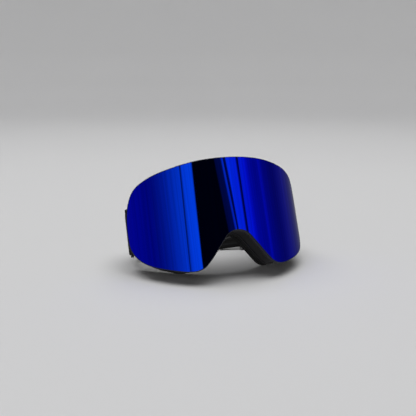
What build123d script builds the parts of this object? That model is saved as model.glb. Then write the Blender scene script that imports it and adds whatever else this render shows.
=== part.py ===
from build123d import *
from math import asin, cos, degrees, radians, sin, sqrt
import os

os.makedirs("parts", exist_ok=True)

# Ski goggles, standing on the lower corners of the face foam and on the back of the strap.
# Everything is built in goggle axes and leaned back at the end:
# X towards the wearer's left, Y towards the face, Z up along the lens. The origin is the
# foremost line of the lens. All lengths are mm, all angles degrees.

# ---- lens ----
LENS_R = 99.0          # outer radius of the cylindrical lens
LENS_T = 1.8           # outer mirror lens
SPACER_T = 1.8         # sealed air space between the two lenses
INNER_T = 1.2          # anti-fog inner lens
CARRIER_OUT = 1.5      # carrier's outer edge, outside the frame wall
INNER_IN = 4.7         # inner lens's edge, inside the frame wall's outside
SPACER_W = 4.0
MAGNET_R, MAGNET_T = 1.6, 1.5
MAGNET_IN = 1.6        # magnets' line, inside the frame wall's outside
MAGNET_CLEAR_X = 30.0  # none over the nose or at the top centre
LENS_GAP = 0.6         # air between carrier and frame

# Half outline of the lens in front view, clockwise from top centre to the top of the nose
# notch: (x, z, heading of the edge there)
LENS_EDGE = [(0, 54, 0), (46, 50.7, -9.9), (76.5, 42, -29), (88, 20, -82),
             (89, -12, -94), (78.4, -34.1, -139), (60.3, -43.5, -161),
             (42, -47.6, -180), (22, -32.9, -232), (0, -14.6, -180)]

# ---- frame ----
RIM_T = 2.4            # curved rim the lens lands on
WALL_T = 2.2           # wall that runs back from the rim to the face
RIM_W = 7.5            # how far the rim reaches inside the wall's outside
FACE_R = 103.0         # curve of the face across the goggles
FACE_Y = 25.0          # front of the face flange on the centre line
FLANGE_T, FLANGE_OUT, FLANGE_W = 2.0, 0.4, 12.5
VENT_L, VENT_D = 13.0, 8.0
VENT_TOP_X = (-56, -34, -11.5, 11.5, 34, 56)
VENT_LOW_X = (-60, -44, 44, 60)
VENT_FOAM_T = 2.4
FIT = 0.2              # clearance between glued neighbours

# Half outline of the frame wall in front view, in the same form
BODY_EDGE = [(0, 50.5, 0), (42, 47.6, -9), (68.5, 39, -32), (79.5, 3, -90),
             (70.5, -31, -138), (56, -40.4, -159), (41, -45.2, -180),
             (22.5, -31, -231), (0, -12.8, -180)]

# ---- face foam, thicknesses along Y ----
FOAM_IN, FOAM_W = 0.3, 11.8
BASE_T, TOP_T, FLEECE_T = 8.0, 6.0, 1.6

# ---- outriggers (left one; the right one is its mirror image) ----
PIVOT_X, PIVOT_Y = 84.0, 63.0
ARM_ANGLE = 10.0       # arm leans inwards along the head
ARM_T = 2.6
PIN_R, BORE_R, BARREL_R, LUG_R = 1.3, 1.6, 3.2, 3.4
BARREL_Z = (-13.0, 19.0)
LUG_T, LUG_GAP = 3.4, 0.4
ARM_ROOT_Z = (-13.0, 19.0)
ARM_END_Z = (-21.0, 26.2)
SLOT = (16.5, 20.5)    # strap slot, measured along the arm from the pivot
ARM_LENGTH = 24.0

# ---- strap ----
STRAP_T = 1.6
STRAP_Z = (-18.0, 23.0)
STUB_END = 26.0        # where the sewn end loop stops, measured from the pivot
STUB_GAP = 0.5
BEND_R = 12.0
RUN_HEADING = 166.0    # direction of the straight run, from +X
CENTRE_X = 16.0        # half width of the curved middle of the strap
RETURN_SHORT = 5.0     # the doubled layer stops this far short of the curved middle
HEM_L, HEM_T = 7.0, 1.2
GRIP_T, GRIP_W = 0.4, 4.5
GRIP_Z = (-8.5, 2.5, 13.5)
GRIP_RUN = 20.0
TACK_T, TACK_W = 0.4, 1.6

# ---- sliders ----
SLIDER_L, SLIDER_T, SLIDER_EDGE = 14.0, 1.6, 1.3
SLIDER_FIT = 0.35
SLIDER_AT = 22.0       # centre of the slider along the straight run
SLIDER_BAR = 3.2

# ---- standing pose ----
LEAN = 23.0
FLOOR = 61.0           # depth of the surface under the foremost line of the lens

DEPTH = 150.0          # long enough to pass through everything
SPAN = 400.0


def unit(heading):
    return cos(radians(heading)), sin(radians(heading))


def inset(half, inward):
    """Closed ring of edge nodes, each moved inwards square to the edge."""
    ring = half + [(-x, z, -heading) for x, z, heading in half[-2:0:-1]]
    return [(x + inward * sin(radians(h)), z - inward * cos(radians(h)), h) for x, z, h in ring]


def arcs_between(start, end):
    """Two tangent arcs that join two edge nodes along their headings."""
    (xa, za, ha), (xb, zb, hb) = start, end
    (ax, az), (bx, bz) = unit(ha), unit(hb)
    vx, vz = xb - xa, zb - za
    a = 2 * (1 - ax * bx - az * bz)
    b = 2 * (vx * (ax + bx) + vz * (az + bz))
    reach = (sqrt(b * b + 4 * a * (vx * vx + vz * vz)) - b) / (2 * a)
    joint = ((xa + xb + reach * (ax - bx)) / 2, (za + zb + reach * (az - bz)) / 2)
    along = (vx - reach * (ax + bx), vz - reach * (az + bz))
    return [TangentArc((xa, za), joint, tangent=(ax, az)),
            TangentArc(joint, (xb, zb), tangent=along)]


def prism(nodes):
    """Outline in front view, run straight back along Y."""
    edges = []
    for start, end in zip(nodes, nodes[1:] + nodes[:1]):
        edges += arcs_between(start, end)
    upright = Plane(origin=(0, -DEPTH / 4, 0), x_dir=(1, 0, 0), z_dir=(0, -1, 0))
    return extrude(upright * make_face(Wire(edges)), amount=-DEPTH)


def body_prism(inward):
    return prism(inset(BODY_EDGE, inward))


def body_ring(outer, inner):
    return body_prism(outer) - body_prism(inner)


def drum(radius, front=None):
    """Upright cylinder round the lens axis, or with its foremost line at the given Y."""
    centre = LENS_R if front is None else front + radius
    return Pos(0, centre, 0) * Cylinder(radius, SPAN / 2)


def shell(radius, thickness, region):
    """Curved sheet of the given outer radius, trimmed by a region."""
    return region & (drum(radius) - drum(radius - thickness))


def face_layer(front, thickness, outer, inner):
    """Ring that follows the face curve, as thick as stated along Y."""
    crescent = drum(FACE_R, front) - drum(FACE_R, front + thickness)
    return body_ring(outer, inner) & crescent


def box_between(low, high):
    size = [b - a for a, b in zip(low, high)]
    middle = [(a + b) / 2 for a, b in zip(low, high)]
    return Pos(*middle) * Box(*size)


def pair(shape):
    """A left-hand shape and its mirror image."""
    return shape, mirror(shape, about=Plane.YZ)


# ---- lens unit ----

def magnets(radius):
    """Discs set along the frame wall, outer faces at one distance from the lens axis."""
    discs = []
    middle = radius - MAGNET_T / 2
    for x, z, _ in inset(BODY_EDGE, MAGNET_IN):
        if abs(x) > MAGNET_CLEAR_X:
            turn = asin(x / middle)
            spot = Pos(middle * sin(turn), LENS_R - middle * cos(turn), z)
            discs.append(spot * Rot(Z=degrees(turn)) * Rot(X=90) * Cylinder(MAGNET_R, MAGNET_T))
    return Compound(discs)


def lens_unit():
    behind = LENS_R - LENS_T
    carrier_t = SPACER_T + INNER_T
    discs = magnets(behind - carrier_t + MAGNET_T)
    carrier = body_ring(-CARRIER_OUT, INNER_IN - FIT)
    spacer = body_ring(INNER_IN, INNER_IN + SPACER_W)
    return {
        "outer_lens": shell(LENS_R, LENS_T, prism(inset(LENS_EDGE, 0))),
        "lens_spacer": shell(behind, SPACER_T, spacer),
        "inner_lens": shell(behind - SPACER_T, INNER_T, body_prism(INNER_IN)),
        "lens_carrier": shell(behind, carrier_t, carrier) - discs,
        "lens_magnets": discs,
    }


# ---- frame ----

RIM_R = LENS_R - LENS_T - SPACER_T - INNER_T - LENS_GAP


def curve_y(x, radius, front):
    """Y of an upright cylinder with its foremost line at front, at the given x."""
    return front + radius - sqrt(radius ** 2 - x ** 2)


def vents():
    """Windows through the top wall and the wall under each eye."""
    slots = []
    for x in VENT_TOP_X + VENT_LOW_X:
        rim = curve_y(x, RIM_R - RIM_T, LENS_R - RIM_R + RIM_T)
        y = (rim + curve_y(x, FACE_R, FACE_Y)) / 2
        z = 45 if x in VENT_TOP_X else -40
        turn = degrees(asin(x / LENS_R))
        slots.append(Pos(x, y, z) * Rot(Z=turn) * Box(VENT_L, VENT_D, 30))
    return Compound(slots)


def lugs():
    """Ears that hold one outrigger pin, above and below its barrel."""
    ears = []
    for z in (BARREL_Z[0] - LUG_GAP - LUG_T / 2, BARREL_Z[1] + LUG_GAP + LUG_T / 2):
        ear = Pos(PIVOT_X, PIVOT_Y, z) * Cylinder(LUG_R, LUG_T)
        ear += box_between((PIVOT_X - 7, PIVOT_Y - LUG_R, z - LUG_T / 2),
                           (PIVOT_X, PIVOT_Y, z + LUG_T / 2))
        ears.append(ear - Pos(PIVOT_X, PIVOT_Y, z) * Cylinder(PIN_R, LUG_T))
    return ears[0] + ears[1]


def frame_parts():
    rim = shell(RIM_R, RIM_T, body_ring(-CARRIER_OUT, RIM_W))
    wall = body_ring(0, WALL_T) & drum(RIM_R - RIM_T / 2)
    discs = magnets(RIM_R)
    left, right = pair(lugs())
    frame = rim + wall - vents() + left + right - drum(FACE_R, FACE_Y) - discs

    foam = body_ring(WALL_T + FIT, WALL_T + VENT_FOAM_T) & drum(RIM_R - RIM_T - FIT)
    foam -= drum(FACE_R, FACE_Y - FIT)
    low_left, low_right = pair(foam & box_between((34, 0, -50), (72, 80, -20)))
    pin_z = (BARREL_Z[0] - LUG_GAP - LUG_T, BARREL_Z[1] + LUG_GAP + LUG_T)
    pin = Pos(PIVOT_X, PIVOT_Y, sum(pin_z) / 2) * Cylinder(PIN_R, pin_z[1] - pin_z[0])
    flange = face_layer(FACE_Y, FLANGE_T, -FLANGE_OUT, FLANGE_W)
    base_y = FACE_Y + FLANGE_T
    return {
        "frame": frame,
        "frame_magnets": discs,
        "top_vent_foam": foam & box_between((-66, 0, 28), (66, 80, 52)),
        "bottom_vent_foam_left": low_left,
        "bottom_vent_foam_right": low_right,
        "face_flange": flange,
        "face_foam_base": face_layer(base_y, BASE_T, FOAM_IN, FOAM_W),
        "face_foam_top": face_layer(base_y + BASE_T, TOP_T, FOAM_IN + 0.3, FOAM_W - 0.3),
        "face_fleece": face_layer(base_y + BASE_T + TOP_T, FLEECE_T, FOAM_IN, FOAM_W),
        "outrigger_pins": Compound(list(pair(pin))),
    }


# ---- outriggers and strap ends, in arm axes: Y along the arm from the pivot ----

def on_arm(shape):
    return Pos(PIVOT_X, PIVOT_Y, 0) * Rot(Z=ARM_ANGLE) * shape


def outrigger():
    """Hinged arm: a barrel round the pin, then a widening plate with the strap's slot."""
    side = Polyline((0, BARREL_R / 2, ARM_ROOT_Z[0]), (0, BARREL_R + 3, ARM_ROOT_Z[0]),
                    (0, SLOT[0] - 3, ARM_END_Z[0]), (0, ARM_LENGTH, ARM_END_Z[0]),
                    (0, ARM_LENGTH, ARM_END_Z[1]), (0, SLOT[0] - 3, ARM_END_Z[1]),
                    (0, BARREL_R + 3, ARM_ROOT_Z[1]), (0, BARREL_R / 2, ARM_ROOT_Z[1]),
                    close=True)
    plate = Pos(-ARM_T / 2, 0, 0) * extrude(make_face(side), amount=ARM_T, dir=(1, 0, 0))
    corners = plate.edges().filter_by(Axis.X).group_by(Axis.Y)[-1]
    plate = fillet(corners, 1.4)
    middle = sum(BARREL_Z) / 2
    height = BARREL_Z[1] - BARREL_Z[0]
    arm = plate + Pos(0, 0, middle) * Cylinder(BARREL_R, height)
    arm -= Pos(0, 0, middle) * Cylinder(BORE_R, height)
    slot = box_between((-ARM_T, SLOT[0], STRAP_Z[0] - 0.4), (ARM_T, SLOT[1], STRAP_Z[1] + 0.4))
    return on_arm(arm - slot)


def strap_end():
    """Sewn loop round the outrigger's end bar, closed into a short doubled stub."""
    half = ARM_T / 2
    loop = box_between((-half - STRAP_T, SLOT[1] - STRAP_T, STRAP_Z[0]),
                       (half + STRAP_T, ARM_LENGTH + STRAP_T, STRAP_Z[1]))
    loop -= box_between((-half, SLOT[1], STRAP_Z[0]), (half, ARM_LENGTH, STRAP_Z[1]))
    stub = box_between((-STRAP_T, ARM_LENGTH + STRAP_T, STRAP_Z[0]),
                       (STRAP_T, STUB_END, STRAP_Z[1]))
    return on_arm(loop + stub)


# ---- strap: outrigger end, bend, straight run, curved middle ----

START_U = STUB_END + STUB_GAP
START_HEADING = 90 + ARM_ANGLE
START = (PIVOT_X - START_U * sin(radians(ARM_ANGLE)),
         PIVOT_Y + START_U * cos(radians(ARM_ANGLE)))
BEND_C = (START[0] - BEND_R * sin(radians(START_HEADING)),
          START[1] + BEND_R * cos(radians(START_HEADING)))
RUN_START = (BEND_C[0] + BEND_R * sin(radians(RUN_HEADING)),
             BEND_C[1] - BEND_R * cos(radians(RUN_HEADING)))
RUN_L = (RUN_START[0] - CENTRE_X) / -cos(radians(RUN_HEADING))
CENTRE_R = CENTRE_X / sin(radians(RUN_HEADING))
CENTRE_Y = RUN_START[1] + RUN_L * sin(radians(RUN_HEADING)) + CENTRE_R * cos(radians(RUN_HEADING))


def arc_layer(inner, outer, sweep, height):
    """Part of a tube wall, swept anticlockwise from +X."""
    whole = Cylinder(outer, height, arc_size=sweep, align=(Align.NONE, Align.NONE, Align.CENTER))
    return whole - Cylinder(inner, height)


def bend(near, far, z=STRAP_Z):
    """Strap layer round the bend, between two distances outside the strap's own line."""
    sector = arc_layer(BEND_R + near, BEND_R + far, RUN_HEADING - START_HEADING, z[1] - z[0])
    return Pos(*BEND_C, sum(z) / 2) * Rot(Z=START_HEADING - 90) * sector


def run(begin, end, near, far, z=STRAP_Z):
    """Strap layer along the straight run, from begin to end along it."""
    layer = box_between((begin, -far, z[0]), (end, -near, z[1]))
    return Pos(*RUN_START, 0) * Rot(Z=RUN_HEADING) * layer


def middle(near, far, z=STRAP_Z):
    """Strap layer round the curved middle."""
    half_turn = 180 - RUN_HEADING
    sector = arc_layer(CENTRE_R + near, CENTRE_R + far, 2 * half_turn, z[1] - z[0])
    return Pos(0, CENTRE_Y, sum(z) / 2) * Rot(Z=90 - half_turn) * sector


def strap_parts():
    left, right = pair(bend(-STRAP_T, 0) + run(0, RUN_L, -STRAP_T, 0))
    main = left + middle(-STRAP_T, 0) + right

    end = RUN_L - RETURN_SHORT
    doubled = bend(0, STRAP_T) + run(0, end, 0, STRAP_T)
    doubled += run(end - HEM_L, end, STRAP_T, STRAP_T + HEM_T)
    doubled_left, doubled_right = pair(doubled)

    strips = []
    for z in GRIP_Z:
        band = (z - GRIP_W / 2, z + GRIP_W / 2)
        grip_left, grip_right = pair(run(RUN_L - GRIP_RUN, RUN_L, -STRAP_T - GRIP_T,
                                         -STRAP_T, band))
        strips.append(grip_left + middle(-STRAP_T - GRIP_T, -STRAP_T, band) + grip_right)

    tacks = []
    for back in (1.4, HEM_L - 1.4):
        at = end - back
        stitch = run(at - TACK_W / 2, at + TACK_W / 2, STRAP_T + HEM_T,
                     STRAP_T + HEM_T + TACK_T, (STRAP_Z[0] + 2, STRAP_Z[1] - 2))
        tacks.extend(pair(stitch))
    return {
        "strap": main,
        "strap_return_left": doubled_left,
        "strap_return_right": doubled_right,
        "silicone_grip": Compound(strips),
        "bar_tacks": Compound(tacks),
    }


def slider():
    """Ladder buckle round both strap layers: two bars outside, one bar inside."""
    low, high = STRAP_Z[0] - SLIDER_FIT, STRAP_Z[1] + SLIDER_FIT
    near = STRAP_T + SLIDER_FIT
    begin, end = SLIDER_AT - SLIDER_L / 2, SLIDER_AT + SLIDER_L / 2
    body = run(begin, end, -near - SLIDER_T, near + SLIDER_T,
               (low - SLIDER_EDGE, high + SLIDER_EDGE))
    body -= run(begin, end, -near, near, (low, high))
    body -= run(begin + SLIDER_BAR, end - SLIDER_BAR, near, near + SLIDER_T, (low, high))
    for a, b in ((begin, SLIDER_AT - SLIDER_BAR), (SLIDER_AT + SLIDER_BAR, end)):
        body -= run(a, b, -near - SLIDER_T, -near, (low, high))
    return body


def all_parts():
    parts = {**lens_unit(), **frame_parts(), **strap_parts()}
    for name, shape in (("outrigger", outrigger()), ("strap_end", strap_end()),
                        ("slider", slider())):
        parts[name + "_left"], parts[name + "_right"] = pair(shape)
    return parts


def stand_up(parts):
    """Lean the goggles back, press what rests flat on the floor, centre over the origin."""
    below = box_between((-SPAN, -SPAN, -SPAN), (SPAN, SPAN, -FLOOR))
    resting = ("face_foam_top", "face_fleece", "strap", "strap_return_left",
               "strap_return_right")
    for name, shape in parts.items():
        leaned = Rot(X=-LEAN) * shape
        parts[name] = leaned - below if name in resting else leaned
    box = Compound(list(parts.values())).bounding_box()
    shift = Pos(-box.center().X, -box.center().Y, FLOOR)
    return {name: shift * shape for name, shape in parts.items()}


for name, shape in stand_up(all_parts()).items():
    export_step(shape, f"parts/{name}.step")
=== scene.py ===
from math import asin, atan2, cos, hypot, pi, radians, sin, sqrt

import bmesh
import bpy
from mathutils import Matrix, Vector
from mathutils.geometry import delaunay_2d_cdt


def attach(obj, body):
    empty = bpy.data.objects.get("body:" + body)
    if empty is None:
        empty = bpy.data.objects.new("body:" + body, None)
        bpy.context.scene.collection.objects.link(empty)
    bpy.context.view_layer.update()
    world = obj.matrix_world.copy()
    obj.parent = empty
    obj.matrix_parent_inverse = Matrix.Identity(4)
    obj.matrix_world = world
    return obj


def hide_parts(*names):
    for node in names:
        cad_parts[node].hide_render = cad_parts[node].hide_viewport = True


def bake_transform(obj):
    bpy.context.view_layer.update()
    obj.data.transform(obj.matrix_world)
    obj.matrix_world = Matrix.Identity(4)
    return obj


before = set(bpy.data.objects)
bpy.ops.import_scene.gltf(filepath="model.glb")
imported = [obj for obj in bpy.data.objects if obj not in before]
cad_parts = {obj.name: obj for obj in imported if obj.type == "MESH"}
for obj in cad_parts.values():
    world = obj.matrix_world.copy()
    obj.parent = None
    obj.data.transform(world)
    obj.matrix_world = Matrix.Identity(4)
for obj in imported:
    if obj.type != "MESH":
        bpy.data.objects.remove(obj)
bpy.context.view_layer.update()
ROOT = "goggle_frame"

# Goggle axes, mm: X towards the wearer's left, Y towards the face, Z up along the lens.
LEAN = radians(23)
ROW_Y, ROW_Z = -50.9, 61.0

# The lens is a sheet of one radius; the face side of the frame has its own.
LENS_R = 99.0
FACE_R, FACE_Y = 103.0, 25.0

# Half outlines from the top centre round to the nose arch: x, z and heading in degrees.
LENS_EDGE = [(0, 54, 0), (46, 50.7, -9.9), (76.5, 42, -29), (88, 20, -82), (89, -12, -94),
             (78.4, -34.1, -139), (60.3, -43.5, -161), (42, -47.6, -180), (22, -32.9, -232),
             (0, -14.6, -180)]
BODY_EDGE = [(0, 50.5, 0), (42, 47.6, -9), (68.5, 39, -32), (79.5, 3, -90), (70.5, -31, -138),
             (56, -40.4, -159), (41, -45.2, -180), (22.5, -31, -231), (0, -12.8, -180)]

# Outrigger: hinge axis, heading, and how far its strap bar and the sewn stub of webbing reach.
PIVOT = (84.0, 63.0)
ARM = radians(10)
SLOT_END, ARM_LENGTH, ARM_T = 20.5, 24.0, 2.6
STUB_END = 26.0

# Strap: one layer's thickness, its edges, then a bend, a straight run and the round centre.
STRAP_T, STRAP_LOW, STRAP_HIGH = 1.6, -18.0, 23.0
STRAP_MIDDLE = (STRAP_LOW + STRAP_HIGH) / 2
BEND_R, RUN_HEADING, CENTRE_X = 12.0, radians(166), 16.0
BEND_STEPS, RUN_STEPS, CENTRE_STEPS = 14, 40, 8
LAYER_GAP, STRAP_WAVE = 0.02, 0.02
HEM_BACK, HEM_WIDTH, HEM_T = 5.0, 7.6, 1.2
GRIP_REACH = 36.5
STITCH_LIFT, STITCH_STEPS, STITCH_RISE, STITCH_MARGIN = 0.12, 75, 0.5, 2


def row(x, y, z):
    """Goggle axes in mm to the frame's metres."""
    return (x / 1000, (y * cos(LEAN) + z * sin(LEAN) + ROW_Y) / 1000,
            (-y * sin(LEAN) + z * cos(LEAN) + ROW_Z) / 1000)


def turned(x, y, z):
    """A direction in goggle axes, in the frame's axes."""
    return Vector((x, y * cos(LEAN) + z * sin(LEAN), -y * sin(LEAN) + z * cos(LEAN)))


# ---------------------------------------------------------------- outlines

def arc_points(start, tangent, end, count):
    """Points and headings along the arc that leaves start on a tangent and reaches end."""
    vx, vz = end[0] - start[0], end[1] - start[1]
    turn = 2 * atan2(tangent[0] * vz - tangent[1] * vx, tangent[0] * vx + tangent[1] * vz)
    heading = atan2(tangent[1], tangent[0])
    chord = hypot(vx, vz)
    if abs(turn) < 1e-6:
        return [(start[0] + vx * i / count, start[1] + vz * i / count, heading)
                for i in range(count)]
    radius = chord / (2 * sin(turn / 2))
    cx, cz = start[0] - radius * sin(heading), start[1] + radius * cos(heading)
    return [(cx + radius * sin(heading + turn * i / count),
             cz - radius * cos(heading + turn * i / count),
             heading + turn * i / count) for i in range(count)]


def loop(half, inward, count=6):
    """Closed smooth outline, moved inwards, as points with headings."""
    nodes = half + [(-x, z, -h) for x, z, h in half[-2:0:-1]]
    nodes = [(x + inward * sin(radians(h)), z - inward * cos(radians(h)), radians(h))
             for x, z, h in nodes]
    points = []
    for (xa, za, ha), (xb, zb, hb) in zip(nodes, nodes[1:] + nodes[:1]):
        a, b = (cos(ha), sin(ha)), (cos(hb), sin(hb))
        vx, vz = xb - xa, zb - za
        qa = 2 * (1 - a[0] * b[0] - a[1] * b[1])
        qb = 2 * (vx * (a[0] + b[0]) + vz * (a[1] + b[1]))
        reach = (sqrt(qb * qb + 4 * qa * (vx * vx + vz * vz)) - qb) / (2 * qa)
        joint = ((xa + xb + reach * (a[0] - b[0])) / 2, (za + zb + reach * (a[1] - b[1])) / 2)
        along = (vx - reach * (a[0] + b[0]), vz - reach * (a[1] + b[1]))
        size = hypot(*along)
        points += arc_points((xa, za), a, joint, count)
        points += arc_points(joint, (along[0] / size, along[1] / size), (xb, zb), count)
    return points


def face_y(x, depth):
    """Y on the face curve, at a depth behind the front of the face flange."""
    return FACE_Y + FACE_R - sqrt(FACE_R ** 2 - x * x) + depth


def lens_y(x, depth):
    """Y inside the lens cylinder, at a depth behind the outer face of the lens."""
    return LENS_R - sqrt((LENS_R - depth) ** 2 - x * x)


# ---------------------------------------------------------------- meshes

def make(name, verts, faces, material):
    """A smooth-shaded mesh object with one material."""
    mesh = bpy.data.meshes.new(name)
    mesh.from_pydata([tuple(v) for v in verts], [], faces)
    mesh.validate()
    mesh.update()
    obj = bpy.data.objects.new(name, mesh)
    bpy.context.scene.collection.objects.link(obj)
    mesh.materials.append(material)
    mesh.polygons.foreach_set("use_smooth", [True] * len(mesh.polygons))
    return obj


def outward(obj):
    """Turns every face outwards."""
    bm = bmesh.new()
    bm.from_mesh(obj.data)
    bmesh.ops.recalc_face_normals(bm, faces=bm.faces)
    bm.to_mesh(obj.data)
    bm.free()
    return obj


def set_uv(obj, coords):
    """One UV layer, in mm, from per-vertex coordinates."""
    layer = obj.data.uv_layers.new(name="mm")
    for poly in obj.data.polygons:
        us = [coords[obj.data.loops[i].vertex_index] for i in poly.loop_indices]
        for i, uv in zip(poly.loop_indices, us):
            layer.data[i].uv = uv
    return obj


def grid_faces(rows, columns, closed_rows=True):
    """Quads between rows of points; each row is a closed line."""
    faces = []
    for i in range(rows if closed_rows else rows - 1):
        for j in range(columns):
            a, b = i, (i + 1) % rows
            c, d = j, (j + 1) % columns
            faces.append((a * columns + c, a * columns + d, b * columns + d, b * columns + c))
    return faces


def capped_faces(rows, columns):
    """Quads of a tube with a face over each end."""
    first, last = range(columns), range((rows - 1) * columns, rows * columns)
    return grid_faces(rows, columns, False) + [tuple(first), tuple(last)]


def ring(name, half, profile, depth, material, count=6, ripple=0.0):
    """A closed ring: a profile of (inwards, depth) swept round an outline."""
    loops = [loop(half, inward, count) for inward, _ in profile]
    rows = len(loops[0])
    verts = []
    for i in range(rows):
        for j, (_, deep) in enumerate(profile):
            x, z, heading = loops[j][i]
            wave = ripple * (sin(i * 1.7 + j) + sin(i * 0.61 + 2.3 * j) + sin(i * 2.9 - j))
            x, z = x + wave * sin(heading), z - wave * cos(heading)
            verts.append(row(x, depth(x, deep), z))
    obj = make(name, verts, grid_faces(rows, len(profile)), material)
    return outward(obj)


def rounded_profile(a0, a1, d0, d1, r, puff=0.0):
    """Rectangle of insets a0..a1 and depths d0..d1 with rounded corners and swollen sides."""
    corner = [(1 - cos(t), 1 - sin(t)) for t in (0, pi / 6, pi / 3, pi / 2)]
    middle = (d0 + d1) / 2
    points = [(a0 - puff, middle)]
    points += [(a0 + r * u, d1 - r * v) for u, v in corner]
    points += [(a0 + (a1 - a0) * k, d1 + puff * 0.6) for k in (0.3, 0.5, 0.7)]
    points += [(a1 - r * u, d1 - r * v) for u, v in reversed(corner)]
    points += [(a1 + puff, middle)]
    points += [(a1 - r * u, d0 + r * v) for u, v in corner]
    points += [(a0 + r * u, d0 + r * v) for u, v in reversed(corner)]
    return points


def softened(node, name, width, material):
    """A copy of a moulded CAD piece with rounded edges."""
    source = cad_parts[node]
    mesh = source.data.copy()
    mesh.name = name
    obj = bpy.data.objects.new(name, mesh)
    bpy.context.scene.collection.objects.link(obj)
    obj.matrix_world = source.matrix_world
    bm = bmesh.new()
    bm.from_mesh(mesh)
    bmesh.ops.remove_doubles(bm, verts=bm.verts, dist=2e-6)
    bmesh.ops.dissolve_limit(bm, angle_limit=radians(1), verts=bm.verts, edges=bm.edges)
    bm.to_mesh(mesh)
    bm.free()
    mesh.materials.clear()
    mesh.materials.append(material)
    bevel = obj.modifiers.new("bevel", "BEVEL")
    bevel.width, bevel.segments = width, 2
    bevel.limit_method, bevel.angle_limit = "ANGLE", radians(32)
    bevel.use_clamp_overlap = True
    mesh.polygons.foreach_set("use_smooth", [True] * len(mesh.polygons))
    even = obj.modifiers.new("even", "WEIGHTED_NORMAL")
    even.mode, even.weight = "FACE_AREA_WITH_ANGLE", 60
    bake(obj)
    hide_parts(node)
    return obj


def bake(obj):
    """Applies the modifiers."""
    depsgraph = bpy.context.evaluated_depsgraph_get()
    mesh = bpy.data.meshes.new_from_object(obj.evaluated_get(depsgraph))
    obj.modifiers.clear()
    obj.data = mesh


def mirrored(obj, name):
    """The right-hand twin of a left-hand piece."""
    twin = obj.copy()
    twin.data = obj.data.copy()
    twin.name = name
    twin.data.transform(Matrix.Scale(-1, 4, (1, 0, 0)))
    twin.data.flip_normals()
    bpy.context.scene.collection.objects.link(twin)
    return twin


# ---------------------------------------------------------------- materials

class Shader:
    """A Principled material with short calls for its node tree."""

    def __init__(self, name, colour, rough, **sockets):
        self.mat = bpy.data.materials.new(name)
        self.mat.use_nodes = True
        self.nodes, self.links = self.mat.node_tree.nodes, self.mat.node_tree.links
        self.bsdf = self.nodes["Principled BSDF"]
        self.bsdf.inputs["Base Color"].default_value = (*colour, 1)
        self.bsdf.inputs["Roughness"].default_value = rough
        for key, value in sockets.items():
            self.bsdf.inputs[key.replace("_", " ")].default_value = value
        self.height = None

    def node(self, kind, **settings):
        made = self.nodes.new("ShaderNode" + kind)
        for key, value in settings.items():
            setattr(made, key, value)
        return made

    def put(self, value, socket):
        if isinstance(value, (int, float, tuple)):
            socket.default_value = value
        else:
            self.links.new(value, socket)

    def noise(self, scale, detail=3.0, stretch=(1, 1, 1)):
        place = self.node("Mapping")
        place.inputs["Scale"].default_value = stretch
        self.links.new(self.node("TexCoord").outputs["Object"], place.inputs["Vector"])
        tex = self.node("TexNoise")
        tex.inputs["Scale"].default_value = scale
        tex.inputs["Detail"].default_value = detail
        self.links.new(place.outputs["Vector"], tex.inputs["Vector"])
        return tex.outputs["Fac"]

    def cells(self, scale):
        tex = self.node("TexVoronoi")
        tex.inputs["Scale"].default_value = scale
        self.links.new(self.node("TexCoord").outputs["Object"], tex.inputs["Vector"])
        return tex.outputs["Distance"]

    def math(self, kind, a, b=0.0):
        made = self.node("Math", operation=kind)
        self.put(a, made.inputs[0])
        self.put(b, made.inputs[1])
        return made.outputs[0]

    def ramp(self, fac, stops):
        made = self.node("ValToRGB")
        band = made.color_ramp
        while len(band.elements) < len(stops):
            band.elements.new(0.5)
        for element, (at, colour) in zip(band.elements, stops):
            element.position = at
            element.color = (*colour, 1)
        self.links.new(fac, made.inputs["Fac"])
        return made.outputs["Color"]

    def mix(self, fac, a, b):
        made = self.node("Mix", data_type="RGBA")
        self.put(fac, made.inputs[0])
        self.put((*a, 1) if isinstance(a, tuple) else a, made.inputs[6])
        self.put((*b, 1) if isinstance(b, tuple) else b, made.inputs[7])
        return made.outputs[2]

    def colour(self, value):
        self.links.new(value, self.bsdf.inputs["Base Color"])
        return self

    def rough(self, fac, low, high):
        made = self.node("MapRange")
        made.inputs["To Min"].default_value = low
        made.inputs["To Max"].default_value = high
        self.links.new(fac, made.inputs["Value"])
        self.links.new(made.outputs[0], self.bsdf.inputs["Roughness"])
        return self

    def bump(self, height, distance, strength=1.0):
        made = self.node("Bump")
        made.inputs["Strength"].default_value = strength
        made.inputs["Distance"].default_value = distance
        self.links.new(height, made.inputs["Height"])
        if self.height is not None:
            self.links.new(self.height, made.inputs["Normal"])
        self.links.new(made.outputs["Normal"], self.bsdf.inputs["Normal"])
        self.height = made.outputs["Normal"]
        return self

    def uv(self):
        split = self.node("SeparateXYZ")
        self.links.new(self.node("UVMap", uv_map="mm").outputs["UV"], split.inputs[0])
        return split.outputs[0], split.outputs[1]


def moulded(name, colour, rough, shine=0.5, grain=2600):
    """Injection-moulded plastic: fine spark-eroded grain, faint blotches, paler sharp convex
    edges.
    """
    s = Shader(name, colour, rough)
    s.bsdf.inputs["Specular IOR Level"].default_value = shine
    grain_fac = s.noise(grain, 2)
    blotch = s.noise(45, 4)
    edge = s.node("NewGeometry").outputs["Pointiness"]
    # Sharp convex edges, found by pointiness, are made paler.
    pale_sharp_edges = s.ramp(edge, [(0.5, (0, 0, 0)), (0.58, (1, 1, 1))])
    base = s.mix(blotch, tuple(c * 0.75 for c in colour), tuple(c * 1.3 for c in colour))
    s.colour(s.mix(pale_sharp_edges, base, (0.022, 0.022, 0.025)))
    s.rough(blotch, rough - 0.08, rough + 0.08)
    return s.bump(grain_fac, 0.00004, 0.6).mat


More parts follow.
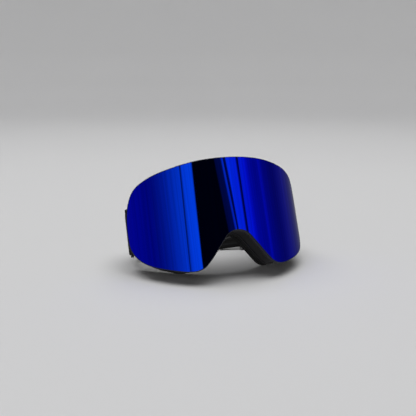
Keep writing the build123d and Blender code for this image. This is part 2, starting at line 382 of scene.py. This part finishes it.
def foam(name, colour, pore, depth):
    """Open-cell foam: round pores between thin struts, with painted shade darkening each pore."""
    s = Shader(name, colour, 0.95, Sheen_Weight=0.04, Sheen_Roughness=0.6)
    s.bsdf.inputs["Specular IOR Level"].default_value = 0.2
    pores = s.cells(pore)
    patch = s.noise(70, 3)
    # Painted shade: each pore darkens towards its centre, where its bump is lowest.
    dark = s.ramp(pores, [(0.1, tuple(c * 0.35 for c in colour)), (0.55, colour)])
    s.colour(s.mix(patch, dark, tuple(c * 1.5 for c in colour)))
    return s.bump(pores, depth).bump(s.noise(260, 3), depth * 1.5, 0.5).mat


def fleece():
    """Brushed fleece: fine nap over soft clumps."""
    s = Shader("fleece_brushed", (0.013, 0.013, 0.0145), 0.97, Sheen_Weight=0.16,
               Sheen_Roughness=0.45)
    s.bsdf.inputs["Specular IOR Level"].default_value = 0.2
    nap = s.noise(900, 6)
    clump = s.noise(160, 4)
    s.colour(s.ramp(nap, [(0.3, (0.007, 0.007, 0.008)), (0.7, (0.030, 0.030, 0.033))]))
    return s.bump(clump, 0.0005, 0.8).bump(nap, 0.0004).mat


def webbing(name, colour, line):
    """Woven elastic: ribs across, cords along, painted shade in the grooves between them, and a
    tonal border line near each edge.
    """
    s = Shader(name, colour, 0.82, Sheen_Weight=0.06, Sheen_Roughness=0.5)
    s.bsdf.inputs["Specular IOR Level"].default_value = 0.3
    u, v = s.uv()
    ribs = s.math("ABSOLUTE", s.math("SINE", s.math("MULTIPLY", u, pi / 1.1)))
    cords = s.math("ABSOLUTE", s.math("SINE", s.math("MULTIPLY", v, pi / 1.4)))
    weave = s.math("MULTIPLY", ribs, s.math("ADD", 0.45, s.math("MULTIPLY", cords, 0.55)))
    width = STRAP_HIGH - STRAP_LOW
    off = s.math("ABSOLUTE", s.math("SUBTRACT", v, width / 2))
    border = s.math("COMPARE", off, width / 2 - 4.2)
    border.node.inputs[2].default_value = 0.75
    fuzz = s.noise(420, 4)
    # Painted shade: the weave's colour darkens where its bump is low, in the grooves.
    base = s.ramp(weave, [(0.0, tuple(c * 0.3 for c in colour)), (0.8, colour)])
    base = s.mix(s.math("MULTIPLY", fuzz, 0.35), base, tuple(c * 2.2 for c in colour))
    s.colour(s.mix(border, base, line))
    return s.bump(weave, 0.00035, 0.9).bump(fuzz, 0.0001, 0.5).mat


def mirror():
    """Blue mirror coating: azure off centre, running to pure royal blue at both sides; the azure
    is the coating's head-on reflection colour, painted where the lens faces the camera, and faint
    painted reflection streaks run up the lens.
    """
    s = Shader("lens_mirror", (0.001, 0.05, 0.80), 0.03, Metallic=1.0)
    s.bsdf.inputs["Specular Tint"].default_value = (0.75, 0.75, 0.78, 1)
    split = s.node("SeparateXYZ")
    s.links.new(s.node("TexCoord").outputs["Object"], split.inputs[0])
    side = s.node("MapRange")
    side.inputs["From Min"].default_value = -0.09
    side.inputs["From Max"].default_value = 0.09
    s.links.new(split.outputs[0], side.inputs["Value"])
    # Streaks stretched up the lens: they vary the roughness and also darken the colour a little as
    # painted reflection streaks.
    haze_and_painted_streaks = s.noise(26, 2, (1, 1, 0.25))
    # Painted reflection: royal blue coating with azure painted where the lens faces the camera.
    coating_and_painted_reflection_tone = s.ramp(side.outputs[0], [(0.0, (0.0002, 0.0006, 0.74)), (0.10, (0.0003, 0.004, 0.72)),
                                    (0.22, (0.0005, 0.040, 0.76)), (0.38, (0.0005, 0.062, 0.82)),
                                    (0.50, (0.0005, 0.022, 0.84)), (0.60, (0.0005, 0.004, 0.82)),
                                    (1.0, (0.0008, 0.0015, 0.66))])
    s.colour(s.mix(s.math("MULTIPLY", haze_and_painted_streaks, 0.15), coating_and_painted_reflection_tone, (0.0008, 0.010, 0.55)))
    s.rough(haze_and_painted_streaks, 0.02, 0.045)
    return s.mat


def smoke(name, colour, rough):
    """Smoked plastic with a faint unevenness."""
    s = Shader(name, colour, rough)
    s.colour(s.ramp(s.noise(40, 2), [(0.3, tuple(c * 0.8 for c in colour)), (0.7, colour)]))
    return s.mat


def clear_lens():
    """Clear inner lens, very slightly blue."""
    s = Shader("inner_lens_clear", (0.82, 0.86, 0.9), 0.0, Transmission_Weight=1.0, IOR=1.49)
    return s.colour(s.mix(s.noise(9, 1), (0.80, 0.85, 0.90), (0.84, 0.87, 0.90))).mat


def metal(name, colour, rough):
    """Bare metal with fine scratches."""
    s = Shader(name, colour, rough, Metallic=1.0)
    fine = s.noise(1800, 2, (1, 1, 0.08))
    s.colour(s.mix(fine, tuple(c * 0.8 for c in colour), colour))
    return s.rough(fine, rough, rough + 0.15).bump(fine, 0.00001).mat


def silicone():
    """Printed rubber, a little uneven."""
    s = Shader("silicone_grip_rubber", (0.015, 0.015, 0.016), 0.42, Coat_Weight=0.1)
    fac = s.noise(500, 3)
    s.colour(s.mix(fac, (0.010, 0.010, 0.011), (0.022, 0.022, 0.024)))
    return s.bump(fac, 0.00008, 0.6).mat


def thread():
    """Dark twisted sewing thread."""
    s = Shader("sewing_thread", (0.07, 0.07, 0.075), 0.7, Sheen_Weight=0.3)
    twist = s.noise(2200, 2, (1, 0.3, 1))
    s.colour(s.mix(twist, (0.012, 0.012, 0.013), (0.05, 0.05, 0.055)))
    return s.bump(twist, 0.0001).mat


MATERIALS = {
    "mirror": mirror(),
    "edge": smoke("lens_edge_smoke", (0.004, 0.006, 0.016), 0.3),
    "tint": smoke("lens_back_tint", (0.012, 0.014, 0.020), 0.06),
    "clear": clear_lens(),
    "frame": moulded("frame_moulded", (0.005, 0.005, 0.0056), 0.5, 0.16),
    "flange": moulded("flange_moulded", (0.006, 0.006, 0.0068), 0.56, 0.2),
    "carrier": moulded("carrier_moulded", (0.006, 0.006, 0.0068), 0.4, 0.25),
    "arm": moulded("outrigger_moulded", (0.007, 0.007, 0.008), 0.4, grain=2000),
    "slider": moulded("slider_moulded", (0.006, 0.006, 0.0068), 0.28, grain=1500),
    "magnet": metal("magnet_nickel", (0.62, 0.60, 0.57), 0.22),
    "pin": metal("pin_steel", (0.32, 0.32, 0.34), 0.35),
    "foam_firm": foam("foam_firm_cells", (0.0075, 0.0075, 0.0082), 1100, 0.00035),
    "foam_soft": foam("foam_soft_cells", (0.012, 0.012, 0.013), 850, 0.00045),
    "foam_vent": foam("foam_vent_cells", (0.010, 0.010, 0.011), 620, 0.0006),
    "spacer": foam("spacer_closed_cells", (0.008, 0.008, 0.0085), 1500, 0.0002),
    "fleece": fleece(),
    "strap": webbing("strap_elastic", (0.0075, 0.0075, 0.0083), (0.020, 0.021, 0.024)),
    "silicone": silicone(),
    "thread": thread(),
}


# ---------------------------------------------------------------- lens

def lens_point(x, z, r):
    """A point of the lens sheet at radius r, straight in from (x, z) on its outer face."""
    turn = asin(max(-1, min(1, x / LENS_R)))
    return (r * sin(turn), LENS_R - r * cos(turn), z)


def unrolled(x, z):
    """A place on the lens, laid out flat."""
    return (LENS_R * asin(x / LENS_R), z)


def outer_lens():
    """Curved sheet with polished rounded edges; each vertex keeps its exact normal."""
    # Round the edge: inset, radius from the lens axis and tilt of the normal in degrees.
    edge = [(0.7, 99.0, 0), (0.25, 98.92, 30), (0.06, 98.7, 60), (0, 98.45, 90), (0, 97.75, 90),
            (0.06, 97.5, 120), (0.25, 97.28, 150), (0.7, 97.2, 180)]
    verts, normals, faces, slots = [], [], [], []
    loops = [loop(LENS_EDGE, inward, 8) for inward, _, _ in edge]
    count = len(loops[0])
    for points, (_, r, tilt) in zip(loops, edge):
        for x, z, heading in points:
            turn = asin(x / LENS_R)
            out = (-sin(heading), cos(heading))
            side = Vector((out[0] * cos(turn), out[0] * sin(turn), out[1])).normalized()
            radial = Vector((sin(turn), -cos(turn), 0))
            verts.append(row(*lens_point(x, z, r)))
            n = radial * cos(radians(tilt)) + side * sin(radians(tilt))
            normals.append(turned(*n))
    for j in range(len(edge) - 1):
        for i in range(count):
            k = (i + 1) % count
            faces.append((j * count + i, j * count + k, (j + 1) * count + k, (j + 1) * count + i))
            slots.append(1)
    keep = [unrolled(x, z) for x, z, _ in loop(LENS_EDGE, 3.0, 8)]
    # A net of points inside the sheet keeps its triangles small.
    across, upward = range(-108, 109, 3), range(-46, 54, 6)
    for j, sign in ((0, 1), (len(edge) - 1, -1)):
        spots = [Vector(unrolled(x, z)) for x, z, _ in loops[j]]
        spots += [Vector((s, z)) for s in across for z in upward if inside(s, z, keep)]
        made, _, tris, origin, _, _ = delaunay_2d_cdt(spots, [], [list(range(count))], 1, 1e-4)
        index = {}
        for n, (p, o) in enumerate(zip(made, origin)):
            if o and o[0] < count:
                index[n] = j * count + o[0]
            else:
                turn = p.x / LENS_R
                r = edge[j][1]
                index[n] = len(verts)
                verts.append(row(r * sin(turn), LENS_R - r * cos(turn), p.y))
                normals.append(turned(sign * sin(turn), -sign * cos(turn), 0))
        for tri in tris:
            tri = [index[n] for n in tri]
            faces.append(tuple(tri if sign > 0 else tri[::-1]))
            slots.append(0 if sign > 0 else 2)
    obj = make("lens_outer_mirror", verts, faces, MATERIALS["mirror"])
    obj.data.materials.append(MATERIALS["edge"])
    obj.data.materials.append(MATERIALS["tint"])
    obj.data.polygons.foreach_set("material_index", slots)
    outward(obj)
    obj.data.normals_split_custom_set_from_vertices(normals)
    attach(obj, "lens_unit")
    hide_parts("outer_lens")


def inside(x, z, polygon):
    """Whether a point lies in a closed outline."""
    hit = False
    for (xa, za), (xb, zb) in zip(polygon, polygon[1:] + polygon[:1]):
        if (za > z) != (zb > z) and x < (xb - xa) * (z - za) / (zb - za) + xa:
            hit = not hit
    return hit


def lens_spacer():
    """Foam ring between the two lenses."""
    profile = rounded_profile(4.75, 8.65, 1.85, 3.55, 0.35)
    obj = ring("lens_spacer_foam", BODY_EDGE, profile, lens_y, MATERIALS["spacer"])
    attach(obj, "lens_unit")
    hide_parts("lens_spacer")


# ---------------------------------------------------------------- face foam

def face_foam():
    """Firm foam, soft foam and fleece, each a rounded ring that is a little wavy."""
    # Name, node, insets and depths, corner radius, swelling, ripple, material, padding.
    layers = [
        ("foam_layer_firm", "face_foam_base", (0.5, 11.6, 2.05, 9.95), 1.3, 0.25, 0.035,
         "foam_firm", 0.9),
        ("foam_layer_soft", "face_foam_top", (0.6, 11.5, 10.0, 15.95), 1.5, 0.35, 0.05,
         "foam_soft", 0.8),
        ("fleece_layer", "face_fleece", (0.45, 11.7, 15.9, 17.55), 0.75, 0.12, 0.04,
         "fleece", 0.6),
    ]
    for name, node, (a0, a1, d0, d1), r, puff, ripple, material, fill in layers:
        profile = rounded_profile(a0, a1, d0, d1, r, puff)
        obj = ring(name, BODY_EDGE, profile, face_y, MATERIALS[material], 10, ripple)
        level(obj)
        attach(obj, ROOT)
        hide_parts(node)


def level(obj):
    """Presses what stands on the surface flat against it."""
    for v in obj.data.vertices:
        if v.co.z < 0.0:
            v.co.z = 0.0


def vent_foam():
    """Thin open-cell strips behind the vent windows."""
    spans = [("vent_foam_top", "top_vent_foam", lambda x, z: z > 28 and abs(x) < 65),
             ("vent_foam_low_left", "bottom_vent_foam_left", lambda x, z: z < -22 and x > 35),
             ("vent_foam_low_right", "bottom_vent_foam_right", lambda x, z: z < -22 and x < -35)]
    outer, inner = loop(BODY_EDGE, 2.45, 8), loop(BODY_EDGE, 4.15, 8)
    rim_back, clearance = 8.3, 0.3
    depths = (0.0, 0.12, 0.5, 0.88, 1.0)
    for name, node, keep in spans:
        picked = [i for i, (x, z, _) in enumerate(outer) if keep(x, z)]
        seam = next((n for n in range(1, len(picked)) if picked[n] != picked[n - 1] + 1), 0)
        picked = picked[seam:] + picked[:seam]
        verts = []
        for n, i in enumerate(picked):
            lump = 0.12 * sin(n * 1.9)
            for line, sign in ((outer, -1), (inner, 1)):
                for t in (depths if sign < 0 else depths[::-1]):
                    x, z, h = line[i]
                    soft = sign * (0.25 * (abs(t - 0.5) < 0.3) + lump * 0.5) - sign * 0.25
                    x, z = x + soft * sin(h), z - soft * cos(h)
                    front, back = lens_y(x, rim_back) + clearance, face_y(x, -clearance)
                    verts.append(row(x, front + t * (back - front), z))
        faces = capped_faces(len(picked), 2 * len(depths))
        obj = outward(make(name, verts, faces, MATERIALS["foam_vent"]))
        obj.data.set_sharp_from_angle(angle=radians(50))
        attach(obj, ROOT)
        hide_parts(node)


# ---------------------------------------------------------------- strap

def on_arm(u, v):
    """X and Y of a place u along the left outrigger from its pivot and v out from its middle."""
    return (PIVOT[0] - u * sin(ARM) + v * cos(ARM), PIVOT[1] + u * cos(ARM) + v * sin(ARM))


def strap_line():
    """The strap's own line on the left, from the outrigger to the centre: x, y, outward normal."""
    start, lead = on_arm(STUB_END, 0), on_arm(STUB_END + 0.5, 0)
    h0, h1 = pi / 2 + ARM, RUN_HEADING
    centre = (lead[0] - BEND_R * sin(h0), lead[1] + BEND_R * cos(h0))
    points = [(*start, sin(h0), -cos(h0))]
    for i in range(BEND_STEPS + 1):
        h = h0 + (h1 - h0) * i / BEND_STEPS
        points.append((centre[0] + BEND_R * sin(h), centre[1] - BEND_R * cos(h), sin(h), -cos(h)))
    x, y = points[-1][:2]
    length = (x - CENTRE_X) / -cos(h1)
    for i in range(1, RUN_STEPS + 1):
        t = length * i / RUN_STEPS
        points.append((x + t * cos(h1), y + t * sin(h1), sin(h1), -cos(h1)))
    x, y = points[-1][:2]
    big = CENTRE_X / sin(h1)
    for i in range(1, CENTRE_STEPS + 1):
        h = h1 + (pi - h1) * i / CENTRE_STEPS
        points.append((big * sin(h), y + big * (cos(h1) - cos(h)), sin(h), -cos(h)))
    return points, length


def band(name, points, near, far, wave):
    """Strap webbing along a line, from near to far off it, with rounded edges and a mm UV map."""
    low, high = STRAP_LOW, STRAP_HIGH
    mid, half = (near + far) / 2, (far - near) / 2
    levels = [low + half + (high - low - 2 * half) * k / 12 for k in range(13)]
    section = [(far, z) for z in levels]
    section += [(mid + half * cos(a), high - half + half * sin(a)) for a in (0.9, pi / 2, 2.2)]
    section += [(near, z) for z in reversed(levels)]
    section += [(mid - half * cos(a), low + half - half * sin(a)) for a in (0.9, pi / 2, 2.2)]
    verts, uvs, run = [], [], 0.0
    for i, (x, y, nx, ny) in enumerate(points):
        if i:
            run += hypot(x - points[i - 1][0], y - points[i - 1][1])
        for d, z in section:
            ease = wave * sin(run * 0.55 + z * 0.3) * sin(z * 0.21)
            edge = wave * 0.5 * sin(run * 1.3) * (abs(z - STRAP_MIDDLE) / (high - low))
            verts.append(row(x + nx * (d + ease), y + ny * (d + ease), z + edge))
            uvs.append((run, z - low))
    obj = make(name, verts, capped_faces(len(points), len(section)), MATERIALS["strap"])
    set_uv(obj, uvs)
    outward(obj)
    obj.data.set_sharp_from_angle(angle=radians(60))
    level(obj)
    return obj


def cut(points, start, end):
    """The stretch of a line between two distances along it."""
    run, kept = 0.0, []
    for i, p in enumerate(points):
        if i:
            run += hypot(p[0] - points[i - 1][0], p[1] - points[i - 1][1])
        if start - 1e-6 <= run <= end + 1e-6:
            kept.append(p)
    return kept


def hinge_blend(obj):
    """Bakes the strap piece's placement into its mesh; it is tied to neither its outrigger nor the
    frame.
    """
    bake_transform(obj)


def length_of(points):
    """How long a line is."""
    return sum(hypot(b[0] - a[0], b[1] - a[1]) for a, b in zip(points, points[1:]))


def strap():
    """The strap, its doubled layer and the hem on each side, with the grip lines and stitches."""
    points, run_length = strap_line()
    total, lead = length_of(points), length_of(points[:BEND_STEPS + 2])
    hem_end = lead + run_length - HEM_BACK
    main = band("strap_main_left", points, -STRAP_T, -LAYER_GAP, STRAP_WAVE)
    doubled = band("strap_doubled_left", cut(points, 0, hem_end), LAYER_GAP, STRAP_T,
                   STRAP_WAVE)
    hem = band("strap_hem_left", cut(points, hem_end - HEM_WIDTH, hem_end),
               STRAP_T + LAYER_GAP, STRAP_T + HEM_T, 0.0)
    for obj, node in ((main, "strap"), (doubled, "strap_return_left"),
                      (hem, "strap_return_left")):
        twin = mirrored(obj, obj.name.replace("_left", "_right"))
        for piece, side in ((obj, "left"), (twin, "right")):
            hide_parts(node.replace("left", side))
            if node == "strap" or "doubled" in piece.name:
                hinge_blend(piece)
            else:
                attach(piece, ROOT)
    grip(cut(points, total - GRIP_REACH, total))
    stitches(points, hem_end)


def grip(points):
    """Three wavy silicone lines printed on the inside of the strap."""
    full = points + [(-x, y, -nx, ny) for x, y, nx, ny in reversed(points[:-1])]
    dense = []
    for a, b in zip(full, full[1:]):
        dense += [tuple(a[k] + (b[k] - a[k]) * t / 3 for k in range(4)) for t in range(3)]
    dense.append(full[-1])
    section = [(0.0, -2.1), (0.22, -1.9), (0.36, -1.2), (0.4, 0.0), (0.36, 1.2), (0.22, 1.9),
               (0.0, 2.1)]
    for n, level_z in enumerate((-8.5, 2.5, 13.5)):
        verts, run = [], 0.0
        for i, (x, y, nx, ny) in enumerate(dense):
            if i:
                run += hypot(x - dense[i - 1][0], y - dense[i - 1][1])
            ends = min(1.0, sqrt(max(0.02, min(i, len(dense) - 1 - i) / 3.0)))
            for d, z in section:
                depth = -STRAP_T - d * ends
                verts.append(row(x + nx * depth, y + ny * depth,
                                 level_z + z * ends * 0.8 + 0.42 * sin(run * 0.7)))
        faces = capped_faces(len(dense), len(section))
        obj = outward(make(f"silicone_line_{n + 1}", verts, faces, MATERIALS["silicone"]))
        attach(obj, ROOT)
        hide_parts("silicone_grip")


def stitch_tube(verts, faces, path, radius):
    """Adds one thread, a thin tube along a path of row-frame points, to a mesh in the making."""
    base, sides = len(verts), 6
    for i, p in enumerate(path):
        ahead = (path[min(i + 1, len(path) - 1)] - path[max(i - 1, 0)]).normalized()
        across = ahead.cross(Vector((0.3, 0.9, 0.2))).normalized()
        over = ahead.cross(across)
        for k in range(sides):
            a = 2 * pi * k / sides
            verts.append(p + across * radius * cos(a) + over * radius * sin(a))
    for face in capped_faces(len(path), sides):
        faces.append(tuple(base + k for k in face))


def zigzag(place, swing):
    """A zigzag up the strap; place turns a sideways offset and a height into a point."""
    path = []
    for k in range(STITCH_STEPS):
        offset = swing if k % 2 else -swing
        path.append(Vector(place(offset, STRAP_LOW + STITCH_MARGIN + k * STITCH_RISE)))
    return path


def stitches(points, hem_end):
    """Zigzag bar tacks over the hem of the doubled layer."""
    high = STRAP_T + HEM_T + STITCH_LIFT
    for side, flip in (("left", 1), ("right", -1)):
        verts, faces = [], []
        for back in (1.4, 5.6):
            x, y, nx, ny = cut(points, hem_end - back - 0.8, hem_end - back + 0.8)[0]

            def place(offset, z):
                return row(flip * (x + nx * high - ny * offset), y + ny * high + nx * offset, z)

            stitch_tube(verts, faces, zigzag(place, 0.75), 0.00016)
        obj = outward(make("bar_tack_" + side, verts, faces, MATERIALS["thread"]))
        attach(obj, ROOT)
        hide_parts("bar_tacks")


def strap_end():
    """Webbing folded round the outrigger's end bar and sewn to itself."""
    half, t = ARM_T / 2 + 0.08, STRAP_T - 0.1
    u0, u1 = SLOT_END, ARM_LENGTH

    def outline(grow):
        """Half of the fold's section, inner (grow 0) or outer face, on the outward side."""
        pts = [(0.0, u0 - grow)]
        pts += [((half + grow) * sin(a), u0 + 0.9 - (0.9 + grow) * cos(a))
                for a in (0.45, 0.9, 1.3)]
        pts += [(half + grow, u0 + 1.6), (half + grow, (u0 + u1) / 2), (half + grow, u1 - 0.4)]
        if grow:
            pts += [(half + grow - 0.15, u1 + 0.5), (half + grow - 0.75, u1 + 1.2),
                    (t + 0.12, u1 + 1.8), (t + 0.02, STUB_END)]
        else:
            pts += [(half - 0.25, u1 + 0.25), (half * 0.5, u1 + 0.6), (0.02, u1 + 1.1),
                    (0.0, STUB_END)]
        return pts

    outer, inner = outline(t), outline(0.0)
    section = outer + inner[::-1]
    # The fold pulls in a little at its upper and lower edges.
    rows, columns = 22, len(section)
    faces = grid_faces(rows, columns, False)
    for base in (0, (rows - 1) * columns):
        for i in range(len(outer) - 1):
            faces.append((base + i, base + i + 1, base + columns - 2 - i, base + columns - 1 - i))
    halves = []
    for name, out in (("strap_end_fold", 1), ("fold_b", -1)):
        verts, uvs = [], []
        for i in range(rows):
            k = i / (rows - 1)
            z = STRAP_LOW + (STRAP_HIGH - STRAP_LOW) * k
            pinch = 1.0 - 0.10 * (abs(2 * k - 1) ** 14)
            for v, u in section:
                verts.append(row(*on_arm(u, out * v * pinch), z))
                uvs.append((u, z - STRAP_LOW))
        halves.append(set_uv(outward(make(name, verts, faces, MATERIALS["strap"])), uvs))
    left = join(halves, "strap_fold_left")
    left.data.set_sharp_from_angle(angle=radians(55))
    right = mirrored(left, "strap_fold_right")
    for obj, side in ((left, "left"), (right, "right")):
        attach(obj, "outrigger_" + side[0])
        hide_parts("strap_end_" + side)
    for side, flip in (("left", 1), ("right", -1)):
        def place(offset, z):
            x, y = on_arm(STUB_END - 0.95 + offset, STRAP_T + STITCH_LIFT)
            return row(flip * x, y, z)

        verts, faces = [], []
        stitch_tube(verts, faces, zigzag(place, 0.35), 0.00014)
        obj = outward(make("fold_seam_" + side, verts, faces, MATERIALS["thread"]))
        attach(obj, "outrigger_" + side[0])


def join(objs, name):
    """One object made of several."""
    bpy.ops.object.select_all(action="DESELECT")
    for o in objs:
        o.select_set(True)
    bpy.context.view_layer.objects.active = objs[0]
    bpy.ops.object.join()
    objs[0].name = name
    return objs[0]


# ---------------------------------------------------------------- moulded parts

def moulded_parts():
    """Bevelled copies of the mouldings in view, and materials for the pieces kept as they are."""
    rounded = [("frame", "frame_shell", 0.00035, "frame", ROOT, "frame_plastic"),
               ("face_flange", "flange_plate", 0.0004, "flange", ROOT, "flange_plastic")]
    for side in ("left", "right"):
        rounded += [("outrigger_" + side, "outrigger_arm_" + side, 0.0005, "arm",
                     "outrigger_" + side[0], "outrigger_plastic"),
                    ("slider_" + side, "slider_buckle_" + side, 0.0005, "slider",
                     "slider_" + side[0], "slider_plastic")]
    for node, name, width, material, body, slot in rounded:
        obj = softened(node, name, width, MATERIALS[material])
        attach(obj, body)
    kept = {"lens_carrier": "carrier", "inner_lens": "clear", "lens_magnets": "magnet",
            "frame_magnets": "magnet", "outrigger_pins": "pin"}
    for node, material in kept.items():
        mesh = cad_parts[node].data
        mesh.materials.clear()
        mesh.materials.append(MATERIALS[material])


# ---------------------------------------------------------------- studio

def studio():
    """Pale dish with low walls, an overhead softbox, a front fill and the reflected card."""
    rows = [(0.0, 0.0), (0.8, 0.0), (1.6, 0.0), (2.2, 0.0), (2.5, 0.03), (2.75, 0.12),
            (2.9, 0.28), (2.97, 0.5), (3.0, 0.75), (3.0, 0.95)]
    around = 96
    verts = []
    for radius, height in rows:
        for k in range(around):
            a = 2 * pi * k / around
            verts.append((radius * cos(a), radius * sin(a), height))
    faces = grid_faces(len(rows), around, False)
    s = Shader("studio_paint", (0.80, 0.80, 0.80), 0.9)
    s.colour(s.mix(s.noise(2.0, 2), (0.79, 0.79, 0.795), (0.81, 0.81, 0.81)))
    dish = make("studio_dish", verts, faces, s.mat)
    dish.visible_glossy = False

    dim_world()
    softbox("overhead", (0, 0.25, 2.6), (0, 0, 0), (0, 1, 0), 3.0, 3.0, 2.05)
    fill = softbox("front_fill", (-1.2, -2.3, 1.2), (0, 0, 0.05), (0, 0, 1), 1.6, 1.2, 0.8)
    fill.visible_glossy = False
    screen()


def dim_world():
    """A world that is dark round the horizon and pale well above and below it."""
    world = bpy.data.worlds.new("studio_world")
    world.use_nodes = True
    nodes, links = world.node_tree.nodes, world.node_tree.links
    up = nodes.new("ShaderNodeSeparateXYZ")
    links.new(nodes.new("ShaderNodeTexCoord").outputs["Generated"], up.inputs[0])
    rise = nodes.new("ShaderNodeMapRange")
    rise.inputs["From Min"].default_value = -1
    links.new(up.outputs[2], rise.inputs["Value"])
    glow = nodes.new("ShaderNodeValToRGB")
    shades = glow.color_ramp.elements
    for at, shade in ((0.34, 0.18), (0.41, 0.005), (0.85, 0.005)):
        shades.new(at).color = (shade, shade, shade * 1.05, 1)
    shades[0].color = (0.18, 0.18, 0.19, 1)
    shades[-1].color = (0.40, 0.40, 0.41, 1)
    links.new(rise.outputs[0], glow.inputs["Fac"])
    links.new(glow.outputs["Color"], nodes["Background"].inputs[0])
    bpy.context.scene.world = world


def screen():
    """Curved card that only reflections see, upright along the lens, painted with soft bands."""
    reach, first, last, steps = 5.0, -128, 158, 144
    centre = Vector(row(0, 40, 5))
    upright = turned(0, 0, 1)
    verts, uvs = [], []
    for i in range(steps + 1):
        angle = first + (last - first) * i / steps
        away = turned(sin(radians(angle)), -cos(radians(angle)), 0)
        for height in (-3.6, 4.6):
            verts.append(centre + away * reach + upright * height)
            uvs.append((angle, height))
    s = Shader("screen_paint", (0, 0, 0), 1.0)
    angle, height = s.uv()

    def placed(value):
        made = s.node("MapRange")
        made.inputs["From Min"].default_value = first
        made.inputs["From Max"].default_value = last
        s.links.new(value, made.inputs["Value"])
        return made.outputs[0]

    # The ramp's 0 to 1 stands for a lean of -6 to 10 degrees per metre of height. The bands lean
    # about a height of 1.25 m, and only from 0.85 m below it to 0.25 m above it.
    leans = [(-60, 0.37), (-45, 0.19), (-12, 0.19), (8, 0.92), (21, 0.92), (29, 0.42), (60, 0.42)]
    lean = s.ramp(placed(angle), [((a - first) / (last - first), (v, v, v)) for a, v in leans])
    lean = s.math("SUBTRACT", s.math("MULTIPLY", lean, 16.0), 6.0)
    drop = s.math("SUBTRACT", height, 1.25)
    drop = s.math("MAXIMUM", s.math("MINIMUM", drop, 0.25), -0.85)
    leaning = s.math("ADD", angle, s.math("MULTIPLY", lean, drop))
    bands = [(-128, 0.34), (-92, 0.31), (-70, 0.25), (-58, 0.34), (-48, 0.52), (-39, 0.66),
             (-36.2, 0.70), (-35.8, 0.05), (-34.4, 0.05), (-34.0, 0.80), (-21.5, 0.84),
             (-21.0, 0.004), (5.0, 0.004), (6.0, 0.05), (13.6, 0.07), (14.0, 0.62),
             (15.6, 0.62), (16.0, 0.04), (18.4, 0.10), (18.8, 0.86), (31.4, 0.80),
             (31.9, 0.05), (34.0, 0.05), (34.5, 0.82), (41.0, 0.72), (47.0, 0.36),
             (59.0, 0.27), (62.0, 0.46), (66.0, 0.24), (84.0, 0.15), (98.0, 0.24),
             (120.0, 0.20), (158.0, 0.24)]
    # One ramp holds too few stops for all the bands, so two take over from each other.
    first_half, second_half = bands[:17], bands[16:]
    ramps = [s.ramp(placed(leaning), [((a - first) / (last - first), (v, v, v))
                                       for a, v in half]) for half in (first_half, second_half)]
    swap = s.math("GREATER_THAN", leaning, bands[16][0])
    painted = s.mix(swap, *ramps)
    streak = s.node("TexNoise")
    streak.inputs["Scale"].default_value = 1.0
    streak.inputs["Detail"].default_value = 5.0
    spot = s.node("CombineXYZ")
    s.links.new(s.math("MULTIPLY", angle, 0.55), spot.inputs[0])
    s.links.new(s.math("MULTIPLY", height, 0.45), spot.inputs[1])
    s.links.new(spot.outputs[0], streak.inputs["Vector"])
    gain = s.math("ADD", 0.45, s.math("MULTIPLY", streak.outputs["Fac"], 1.1))
    s.bsdf.inputs["Specular IOR Level"].default_value = 0.0
    s.links.new(painted, s.bsdf.inputs["Emission Color"])
    s.links.new(gain, s.bsdf.inputs["Emission Strength"])
    faces = [(2 * i, 2 * i + 1, 2 * i + 3, 2 * i + 2) for i in range(steps)]
    card = set_uv(make("reflection_screen", verts, faces, s.mat), uvs)
    card.visible_camera = card.visible_diffuse = card.visible_shadow = False
    card.visible_transmission = False


def softbox(name, place, target, upright, width, height, radiance):
    """A rectangular light of an even brightness that the camera doesn't see itself."""
    light = bpy.data.lights.new(name, "AREA")
    light.shape = "RECTANGLE"
    light.size, light.size_y = width, height
    light.energy = radiance * pi * width * height
    obj = bpy.data.objects.new(name, light)
    bpy.context.scene.collection.objects.link(obj)
    z = (Vector(place) - Vector(target)).normalized()
    x = Vector(upright).cross(z).normalized()
    y = z.cross(x)
    m = Matrix((x, y, z)).transposed().to_4x4()
    m.translation = Vector(place)
    obj.matrix_world = m
    obj.visible_camera = False
    return obj


def camera():
    """The camera that matches the picture."""
    cam = bpy.data.cameras.new("camera")
    cam.lens, cam.sensor_width = 56.25, 36.0
    cam.clip_start, cam.clip_end = 0.01, 50
    obj = bpy.data.objects.new("camera", cam)
    bpy.context.scene.collection.objects.link(obj)
    look = Vector((0.33299, 0.91976, -0.20791)).normalized()
    x = look.cross(Vector((0, 0, 1))).normalized()
    y = x.cross(look)
    m = Matrix((x, y, -look)).transposed().to_4x4()
    m.translation = Vector((-0.21948, -0.58318, 0.18878))
    obj.matrix_world = m
    bpy.context.scene.camera = obj


outer_lens()
lens_spacer()
moulded_parts()
face_foam()
vent_foam()
strap()
strap_end()
studio()
camera()
bpy.context.scene.view_settings.view_transform = "Standard"

bpy.context.view_layer.update()
